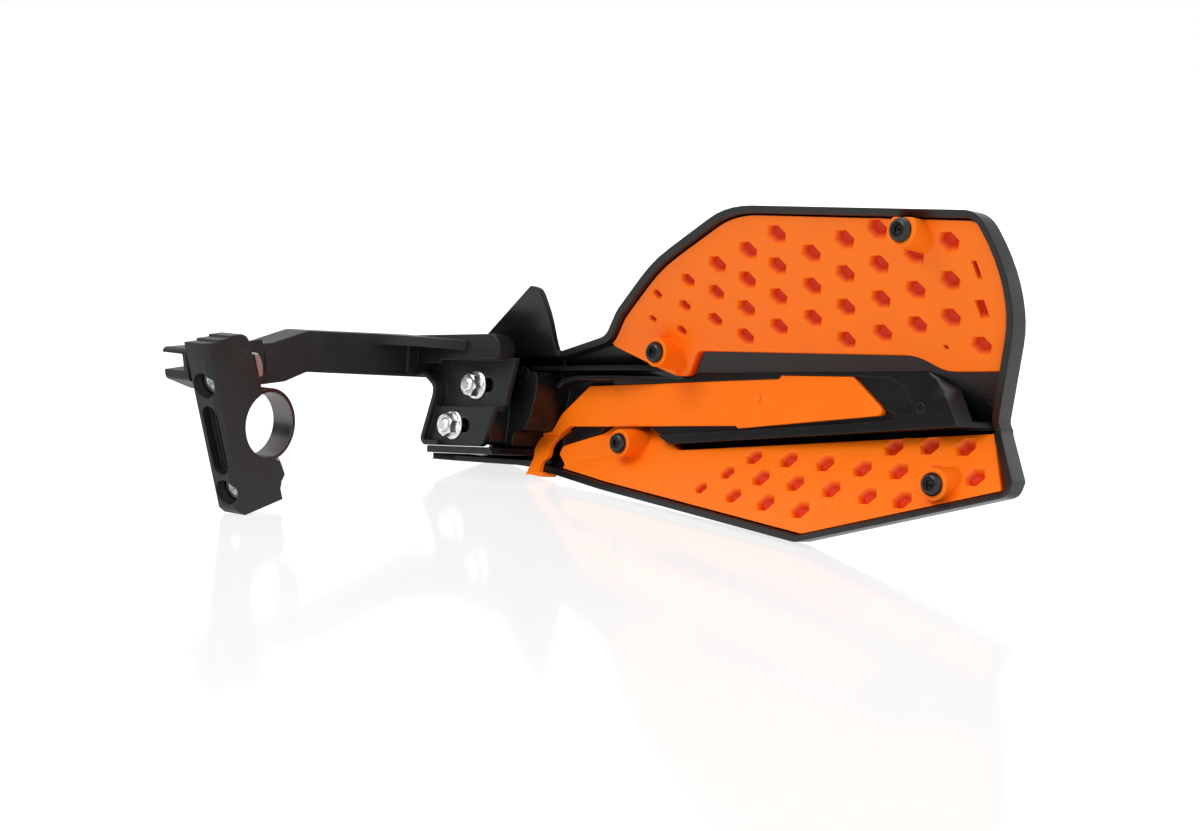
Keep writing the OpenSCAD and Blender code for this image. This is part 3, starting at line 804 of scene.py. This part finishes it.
@dataclass
class Turned:
    """A turned or pressed fastener, spun round its axis and cut to its flats.

    Attributes:
        name: The piece's name.
        frame: The frame it is drawn in.
        at: The axis' foot in that frame, in millimetres; the axis runs along its y.
        rings: Its outline, from one end to the other.
        steps: Faces round it.
        turn: How far it is turned round its axis, in degrees.
        closed: True where the outline is a loop, as in a washer.
        touch: Points nearer than this are one point, in millimetres.
    """

    name: str
    frame: Matrix
    at: Place
    rings: list[Ring]
    steps: int = 48
    turn: float = 0.0
    closed: bool = False
    touch: ClassVar[float] = 0.0005

    def mesh(self) -> bmesh.types.BMesh:
        """Spins the outline and shapes its rings.

        Returns:
            The mesh in the object's frame.
        """
        bm = bmesh.new()
        tag = bm.verts.layers.int.new("ring")
        line = []
        for index, ring in enumerate(self.rings):
            vert = bm.verts.new((ring.radius, ring.along, 0.0))
            vert[tag] = index
            line.append(vert)
        pairs = list(zip(line, line[1:], strict=False))
        if self.closed:
            pairs.append((line[-1], line[0]))
        edges = [bm.edges.new(pair) for pair in pairs]
        bmesh.ops.spin(
            bm,
            geom=line + edges,
            cent=(0, 0, 0),
            axis=(0, 1, 0),
            angle=2 * math.pi,
            steps=self.steps,
            use_merge=True,
        )
        for vert in bm.verts:
            ring = self.rings[vert[tag]]
            if ring.radius > 0:
                angle = math.atan2(vert.co.z, vert.co.x)
                out, along = ring.shaped(angle)
                vert.co = (out * math.cos(angle), along, out * math.sin(angle))
        bmesh.ops.remove_doubles(bm, verts=bm.verts, dist=self.touch)
        bmesh.ops.recalc_face_normals(bm, faces=bm.faces)
        turned = Matrix.Rotation(math.radians(self.turn), 3, "Y")
        bmesh.ops.rotate(bm, verts=bm.verts, cent=(0, 0, 0), matrix=turned)
        bmesh.ops.translate(bm, verts=bm.verts, vec=self.at)
        bmesh.ops.scale(bm, verts=bm.verts, vec=(MM, MM, MM))
        bmesh.ops.transform(bm, verts=bm.verts, matrix=self.frame)
        return bm

    def build(self, finish: Finish, slot: str, replaced: Sequence[str]) -> bpy.types.Object:
        """Builds the piece.

        Args:
            finish: The finish.
            slot: A material slot's name; not used.
            replaced: The CAD nodes it stands for.

        Returns:
            The piece.
        """
        piece = piece_of(self.mesh(), self.name, TURNED_SHARP)
        shown(piece, finish, replaced)
        return piece


def thread(
    radius: float, start: float, end: float, pitch: float = 1.0, depth: float = 0.55
) -> list[Ring]:
    """Draws the grooves of a thread as rings.

    Args:
        radius: Over the crests, in millimetres.
        start: Where it starts along the axis.
        end: Where it ends.
        pitch: From crest to crest.
        depth: How deep the grooves are, in millimetres.

    Returns:
        The rings.
    """
    count = max(1, round(abs(end - start) / pitch))
    step = (end - start) / count
    root = radius - depth
    groove = ((0.06, root), (0.44, radius), (0.56, radius), (0.94, root))
    return [
        Ring(start + k * step + share * step, out) for k in range(count) for share, out in groove
    ]


@dataclass
class PanelScrews:
    """Button-head screws of the orange panels.

    Attributes:
        places: Each screw's name with x, z, its boss's height and whether it is on the upper wing.
        head_r: Radius of the head.
        head_h: Height of the head.
        shank_r: Radius of the shank.
        length: Length under the head.
        socket_r: Radius of the hexagon socket over its corners.
        land: Radius where the flat round the socket ends, as a share of the head's.
        dome: How much of the head's height the dome takes.
        first_turn: How far the first screw is turned, in degrees.
        turn_step: How much farther each next one is turned.
    """

    places: dict[str, tuple[float, float, float, bool]] = field(
        default_factory=lambda: {
            "upper_inner": (76.8, 30.3, 11.7, True),
            "upper_outer": (226.9, 71.7, 10.0, True),
            "lower_inner": (42.7, -10.1, 12.4, False),
            "lower_outer": (219.0, -22.2, 8.6, False),
        }
    )
    head_r: float = 4.75
    head_h: float = 2.75
    shank_r: float = 2.5
    length: float = 10.2
    socket_r: float = 1.73
    land: float = 0.53
    dome: float = 0.97
    first_turn: float = 8.0
    turn_step: float = 17.0

    def head(self) -> list[Ring]:
        """Draws the head and shank; the axis runs inwards from the head's top.

        Returns:
            The rings, from the socket's floor over the head to the shank's end.
        """
        top = -self.head_h
        hexagon = Section.HEXAGON
        crown = [
            Ring(
                top + self.head_h * (1 - math.cos(angle)) * self.dome,
                self.head_r * (self.land + (1 - self.land) * math.sin(angle)),
            )
            for angle in (0.2, 0.5, 0.85, 1.15, 1.4)
        ]
        return [
            Ring(-0.75, 0.0),
            Ring(-0.95, 0.82 * self.socket_r, hexagon),
            Ring(-1.05, self.socket_r, hexagon),
            Ring(top + 0.24, self.socket_r, hexagon),
            Ring(top + 0.04, self.socket_r + 0.16, hexagon),
            Ring(top, self.socket_r + 0.42),
            Ring(top, self.head_r * self.land),
            *crown,
            Ring(-0.3, self.head_r),
            Ring(-0.08, self.head_r),
            Ring(0.0, self.head_r - 0.1),
            Ring(0.0, self.shank_r),
            Ring(self.length - 0.6, self.shank_r),
            Ring(self.length, self.shank_r - 0.6),
            Ring(self.length, 0.0),
        ]

    def build(self) -> None:
        """Builds the four screws."""
        for index, (name, (x, z, height, upper)) in enumerate(self.places.items()):
            screw = Turned(
                f"{name}_button_screw",
                shield_frame(),
                (x, face_y(z, upper) - height, z),
                self.head(),
                turn=self.first_turn + self.turn_step * index,
            )
            screw.build(BLACK_SCREW, "dark_steel", [f"{name}_screw"])


@dataclass
class BracketBolts:
    """Flange bolts, washers and flange nuts that hold the bracket to the shield.

    Attributes:
        places: Each bolt's name with x, z, the nut's seat and the turn in degrees.
        seat: Where the washer lies.
        washer_t: Thickness of the washer.
        head_h: Height of the bolt's head.
        bolt_r: Radius of the bolt.
        flat_r: Radius of the nut's hexagon over its corners.
        past: How far the bolt's tip stands past the nut's seat.
    """

    places: dict[str, tuple[float, float, float, float]] = field(
        default_factory=lambda: {
            "upper": (-36.0, 15.6, -39.0, 12.0),
            "lower": (-47.8, -4.0, -43.0, 40.0),
        }
    )
    seat: float = -16.0
    washer_t: float = 1.6
    head_h: float = 5.7
    bolt_r: float = 3.0
    flat_r: float = 5.76
    past: float = 7.2

    def nut(self) -> list[Ring]:
        """Draws a flange nut with its bore; its seat lies at zero and it stands to the rear.

        Returns:
            The rings.
        """
        hexagon = Section.HEXAGON
        bore = self.bolt_r
        return [
            Ring(-5.7, bore + 0.1),
            Ring(-6.0, bore + 0.5),
            Ring(-6.0, self.flat_r * 0.84),
            Ring(-5.35, self.flat_r, hexagon, -0.75),
            Ring(-1.75, self.flat_r, hexagon),
            Ring(-1.45, self.flat_r * 1.04, hexagon),
            Ring(-1.15, 6.55),
            Ring(-0.75, 7.0),
            Ring(-0.3, 7.08),
            Ring(0.0, 6.85),
            Ring(0.0, bore),
        ]

    def bolt(self, tip: float) -> list[Ring]:
        """Draws a flange bolt from its threaded tip to its head.

        Args:
            tip: Where the tip ends, along the axis.

        Returns:
            The rings.
        """
        under = self.seat + self.washer_t
        head = under + self.head_h
        hexagon = Section.HEXAGON
        return [
            Ring(tip, 0.0),
            Ring(tip, self.bolt_r - 0.75),
            Ring(tip + 0.5, self.bolt_r - 0.15),
            *thread(self.bolt_r, tip + 0.7, tip + 8.7),
            Ring(tip + 9.2, self.bolt_r),
            Ring(under, self.bolt_r),
            Ring(under, 6.7),
            Ring(under + 0.3, 6.9),
            Ring(under + 0.9, 6.85),
            Ring(under + 1.4, 5.75, hexagon),
            Ring(under + 1.8, 5.7, hexagon),
            Ring(head - 0.6, 5.7, hexagon, 0.75),
            Ring(head, 4.7),
            Ring(head, 3.4),
            Ring(head - 0.5, 2.9),
            Ring(head - 0.5, 0.0),
        ]

    def washer(self) -> list[Ring]:
        """Draws a plain washer with chamfered edges.

        Returns:
            The rings.
        """
        back, front = self.seat, self.seat + self.washer_t
        return [
            Ring(back, 3.5),
            Ring(back, 7.3),
            Ring(back + 0.2, 7.5),
            Ring(front - 0.2, 7.5),
            Ring(front, 7.3),
            Ring(front, 3.5),
            Ring(front - 0.2, 3.3),
            Ring(back + 0.2, 3.3),
        ]

    def build(self) -> None:
        """Builds both bolts with their washers and nuts."""
        frame = shield_frame()
        for name, (x, z, seat, turn) in self.places.items():
            foot, drawn = (x, 0.0, z), self.bolt(seat - self.past)
            bolt = Turned(f"{name}_flange_bolt", frame, foot, drawn, turn=turn)
            bolt.build(ZINC_PLATE, "zinc", [f"{name}_bracket_bolt"])
            nut = Turned(
                f"{name}_serrated_nut", frame, (x, seat, z), self.nut(), turn=turn, closed=True
            )
            nut.build(ZINC_PLATE, "zinc", [f"{name}_flange_nut"])
            washer = Turned(f"{name}_plain_washer", frame, foot, self.washer(), closed=True)
            washer.build(ZINC_PLATE, "zinc", [f"{name}_washer"])


@dataclass
class ClampBolts:
    """Socket cap bolts and square nuts that draw the strap round the bar.

    Attributes:
        places: Each bolt's name with its height up the block, in millimetres.
        seat: Where the head's underside lies.
        head_r: Radius of the head.
        head_h: Height of the head.
        bolt_r: Radius of the shank.
        nut_t: Thickness of the square nut.
        nut_w: Width of the square nut.
        past: How far the bolt's tip stands past the nut.
    """

    places: dict[str, float] = field(default_factory=lambda: {"upper": 27.0, "lower": -22.1})
    seat: float = -15.7
    head_r: float = 4.98
    head_h: float = 6.0
    bolt_r: float = 3.0
    nut_t: float = 3.2
    nut_w: float = 10.0
    past: float = 1.2

    def bolt(self) -> list[Ring]:
        """Draws a bolt from its socket to its tip.

        Returns:
            The rings.
        """
        top = self.seat - self.head_h
        tip = self.nut_t + self.past
        hexagon = Section.HEXAGON
        return [
            Ring(top + 3.6, 0.0),
            Ring(top + 3.4, 2.6, hexagon),
            Ring(top + 3.2, 2.88, hexagon),
            Ring(top + 0.3, 2.88, hexagon),
            Ring(top + 0.05, 3.1, hexagon),
            Ring(top, 3.4),
            Ring(top, 4.45),
            Ring(top + 0.15, 4.8),
            Ring(top + 0.5, self.head_r),
            Ring(self.seat - 0.15, self.head_r),
            Ring(self.seat, self.head_r - 0.15),
            Ring(self.seat, self.bolt_r),
            Ring(-4.3, self.bolt_r),
            *thread(self.bolt_r, -4.0, tip - 0.6),
            Ring(tip - 0.5, self.bolt_r - 0.25),
            Ring(tip, self.bolt_r - 0.75),
            Ring(tip, 0.0),
        ]

    def nut(self) -> list[Ring]:
        """Draws a square nut with a chamfered front; its back lies at zero.

        Returns:
            The rings.
        """
        corner = self.nut_w / math.sqrt(2)
        square = Section.SQUARE
        return [
            Ring(0.0, self.bolt_r),
            Ring(0.0, corner - 0.2, square),
            Ring(0.15, corner, square),
            Ring(self.nut_t - 0.35, corner, square, 0.5),
            Ring(self.nut_t, 4.75),
            Ring(self.nut_t, self.bolt_r + 0.5),
            Ring(self.nut_t - 0.3, self.bolt_r + 0.1),
        ]

    def build(self) -> None:
        """Builds both bolts with their nuts."""
        frame = block_frame()
        for name, up in self.places.items():
            foot = (0.0, 0.0, up)
            bolt = Turned(f"{name}_cap_bolt", frame, foot, self.bolt(), turn=30.0)
            bolt.build(ZINC_PLATE, "zinc", [f"{name}_clamp_bolt"])
            nut = Turned(f"{name}_square_nut", frame, foot, self.nut(), turn=45.0, closed=True)
            nut.build(DULL_ZINC, "zinc", [f"{name}_clamp_nut"])


@dataclass
class WitnessMarks:
    """Faint rings and a low disc that ejector pins leave on the mouldings.

    Attributes:
        height: How far a ring stands up, in millimetres.
        width: Width of a ring's foot.
        crest: Width of a ring's top, as a share of its foot.
        sunk: How far a ring's foot goes into the moulding.
        disc_r: Radius of the disc on the trim.
        disc_at: Its middle in the shield's frame.
        disc_tip: How far it is tipped with the trim's face, in degrees.
    """

    height: float = 0.14
    width: float = 0.5
    crest: float = 0.3
    sunk: float = 0.25
    disc_r: float = 2.8
    disc_at: Place = (117.3, -12.2, 11.4)
    disc_tip: float = -9.0

    def ring(self, name: str, frame: Matrix, at: Place, radius: float) -> bmesh.types.BMesh:
        """Draws a ring on a face that looks along the negative y of a frame.

        Args:
            name: The ring's name.
            frame: The frame.
            at: Its middle on the face, in millimetres.
            radius: Its radius.

        Returns:
            The mesh.
        """
        half = self.width / 2
        rings = [
            Ring(self.sunk, radius - half),
            Ring(0.0, radius - half),
            Ring(-self.height, radius - self.crest * half),
            Ring(-self.height, radius + self.crest * half),
            Ring(0.0, radius + half),
            Ring(self.sunk, radius + half),
        ]
        return Turned(name, frame, at, rings, steps=40, closed=True).mesh()

    def disc(self) -> None:
        """Builds the disc on the trim."""
        place = Matrix.Translation(Vector(self.disc_at) * MM)
        tipped = shield_frame() @ place @ Matrix.Rotation(math.radians(self.disc_tip), 4, "Z")
        rings = [
            Ring(0.6, 0.0),
            Ring(0.6, self.disc_r),
            Ring(-0.1, self.disc_r),
            Ring(-0.16, self.disc_r - 0.1),
            Ring(-0.16, 0.0),
        ]
        mark = Turned("trim_pin_mark", tipped, (0.0, 0.0, 0.0), rings)
        mark.build(ORANGE_MOULDING, "orange", [])

    def build(self) -> None:
        """Builds the marks on each moulding."""
        shield = shield_frame()
        wing = shield @ Matrix.Rotation(math.radians(UPPER_TILT), 4, "X")
        block = Matrix.Rotation(math.radians(90), 4, "Z")
        marks = {
            "beam_mark": (shield, (202.7, -12.0, 7.8), 2.0, BLACK_MOULDING, "black"),
            "column_mark": (shield, (-11.9, -30.0, 21.8), 2.6, BLACK_MOULDING, "black"),
            "wing_mark": (wing, (230.3, 3.6, 10.74), 2.0, BLACK_MOULDING, "black"),
            "upper_block_mark": (block, (-16.6, -6.5, 28.0), 6.4, ARM_MOULDING, "satin_black"),
            "lower_block_mark": (block, (-5.3, -6.5, -24.2), 5.6, ARM_MOULDING, "satin_black"),
        }
        for name, (frame, at, radius, finish, slot) in marks.items():
            piece = piece_of(self.ring(name, frame, at, radius), name)
            shown(piece, finish, [])
        self.disc()


@dataclass(frozen=True)
class Lamp:
    """A soft square light.

    Attributes:
        name: Its name.
        at: Its place.
        size: Its side.
        power: Its power in watts.
    """

    name: str
    at: Place
    size: float
    power: float


@dataclass
class Studio:
    """Pale floor, dark card, soft lights and the camera.

    Attributes:
        floor_z: Height of the floor.
        floor_size: Half the floor's side.
        eye: The camera's place.
        azimuth: The camera's turn, in degrees.
        pitch: How far it looks down, in degrees.
        focal: Focal length in millimetres on the sensor.
        sensor: Width of the sensor in millimetres.
        card_r: Radius of the card's arc round the object.
        card_top: Height of its upper edge.
        card_start: Where the arc starts, in degrees.
        card_span: How far it goes round, in degrees.
        card_steps: Flat strips along it.
        lamps: The lights.
        aim: Where the lights look.
    """

    floor_z: float = -38.0 * MM
    floor_size: float = 8.0
    eye: Vector = field(default_factory=lambda: Vector((571.19, -554.22, 133.0)) * MM)
    azimuth: float = 35.0
    pitch: float = 9.4
    focal: float = 54.0
    sensor: float = 36.0
    card_r: float = 2.6
    card_top: float = 1.7
    card_start: float = 208.0
    card_span: float = 56.0
    card_steps: int = 14
    lamps: tuple[Lamp, ...] = (
        Lamp("key", (-0.5, -1.3, 1.6), 1.2, 19.0),
        Lamp("side", (1.9, -0.5, 0.9), 1.3, 2.0),
        Lamp("top", (0.2, 0.5, 2.0), 1.8, 10.0),
    )
    aim: Place = (0.12, 0.08, 0.02)

    def camera(self) -> None:
        """Adds the camera."""
        data = bpy.data.cameras.new("camera")
        data.lens, data.sensor_width = self.focal, self.sensor
        data.clip_start, data.clip_end = 0.01, 50.0
        made = bpy.data.objects.new("camera", data)
        made.location = self.eye
        turn = (math.radians(90 - self.pitch), 0.0, math.radians(self.azimuth))
        made.rotation_euler = Euler(turn, "XYZ")
        bpy.context.scene.collection.objects.link(made)
        bpy.context.scene.camera = made

    def floor(self) -> None:
        """Adds a glossy pale floor."""
        bm = bmesh.new()
        bmesh.ops.create_grid(bm, x_segments=1, y_segments=1, size=self.floor_size)
        bmesh.ops.translate(bm, verts=bm.verts, vec=(0, 0, self.floor_z))
        made = piece_of(bm, "floor")
        made.data.materials.append(PALE_FLOOR.material())

    def card(self) -> None:
        """Adds a dark card, unseen by the camera, that faces to the front and left mirror."""
        bm = bmesh.new()
        line = [bm.verts.new((self.card_r, 0.0, up)) for up in (self.floor_z, self.card_top)]
        start = Matrix.Rotation(math.radians(self.card_start), 3, "Z")
        bmesh.ops.rotate(bm, verts=line, cent=(0, 0, 0), matrix=start)
        side = bm.edges.new(line)
        bmesh.ops.spin(
            bm,
            geom=[*line, side],
            cent=(0, 0, 0),
            axis=(0, 0, 1),
            angle=math.radians(self.card_span),
            steps=self.card_steps,
        )
        made = piece_of(bm, "dark_card")
        made.data.materials.append(DARK_CARD.material())
        made.visible_camera = False

    def light(self, lamp: Lamp) -> None:
        """Adds a light that faces the object.

        Args:
            lamp: The light.
        """
        data = bpy.data.lights.new(lamp.name, "AREA")
        data.shape, data.size, data.energy = "SQUARE", lamp.size, lamp.power
        made = bpy.data.objects.new(lamp.name, data)
        made.location = lamp.at
        look = Vector(self.aim) - Vector(lamp.at)
        made.rotation_euler = look.to_track_quat("-Z", "Y").to_euler()
        bpy.context.scene.collection.objects.link(made)

    def build(self) -> None:
        """Builds the studio."""
        self.camera()
        self.floor()
        self.card()
        for lamp in self.lamps:
            self.light(lamp)
        world = bpy.data.worlds.new("studio")
        world.use_nodes = True
        back = world.node_tree.nodes["Background"]
        back.inputs["Color"].default_value = (1.0, 1.0, 1.0, 1.0)
        back.inputs["Strength"].default_value = 1.0
        bpy.context.scene.world = world
        bpy.context.scene.view_settings.view_transform = "Standard"


def main() -> None:
    """Builds the scene."""
    logging.basicConfig(level=logging.INFO, format="%(name)s: %(message)s")
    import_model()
    Studio().build()
    for moulding in (
        Moulding("arm", ARM_MOULDING, "satin_black"),
        Moulding("shield_shell", BLACK_MOULDING, "black", Edge.ROUND),
        Moulding("spine", BLACK_MOULDING, "black", merged=0.15 * MM),
        Moulding("upper_panel", UPPER_ORANGE_PAINTED_SHADE, "orange"),
        Moulding("lower_panel", LOWER_ORANGE_PAINTED_SHADE, "orange"),
        Moulding("centre_trim", ORANGE_MOULDING, "orange"),
        Strap("clamp_strap", BARE_STRIP, "bare_steel", Edge.CRISP),
    ):
        moulding.build()
    screws = PanelScrews()
    for group in (screws, BracketBolts(), ClampBolts(), WitnessMarks()):
        group.build()
    for name in screws.places:
        for slot in bpy.data.objects[f"{name}_insert"].material_slots:
            slot.material = MACHINED_BRASS.material()


if __name__ == "__main__":
    main()
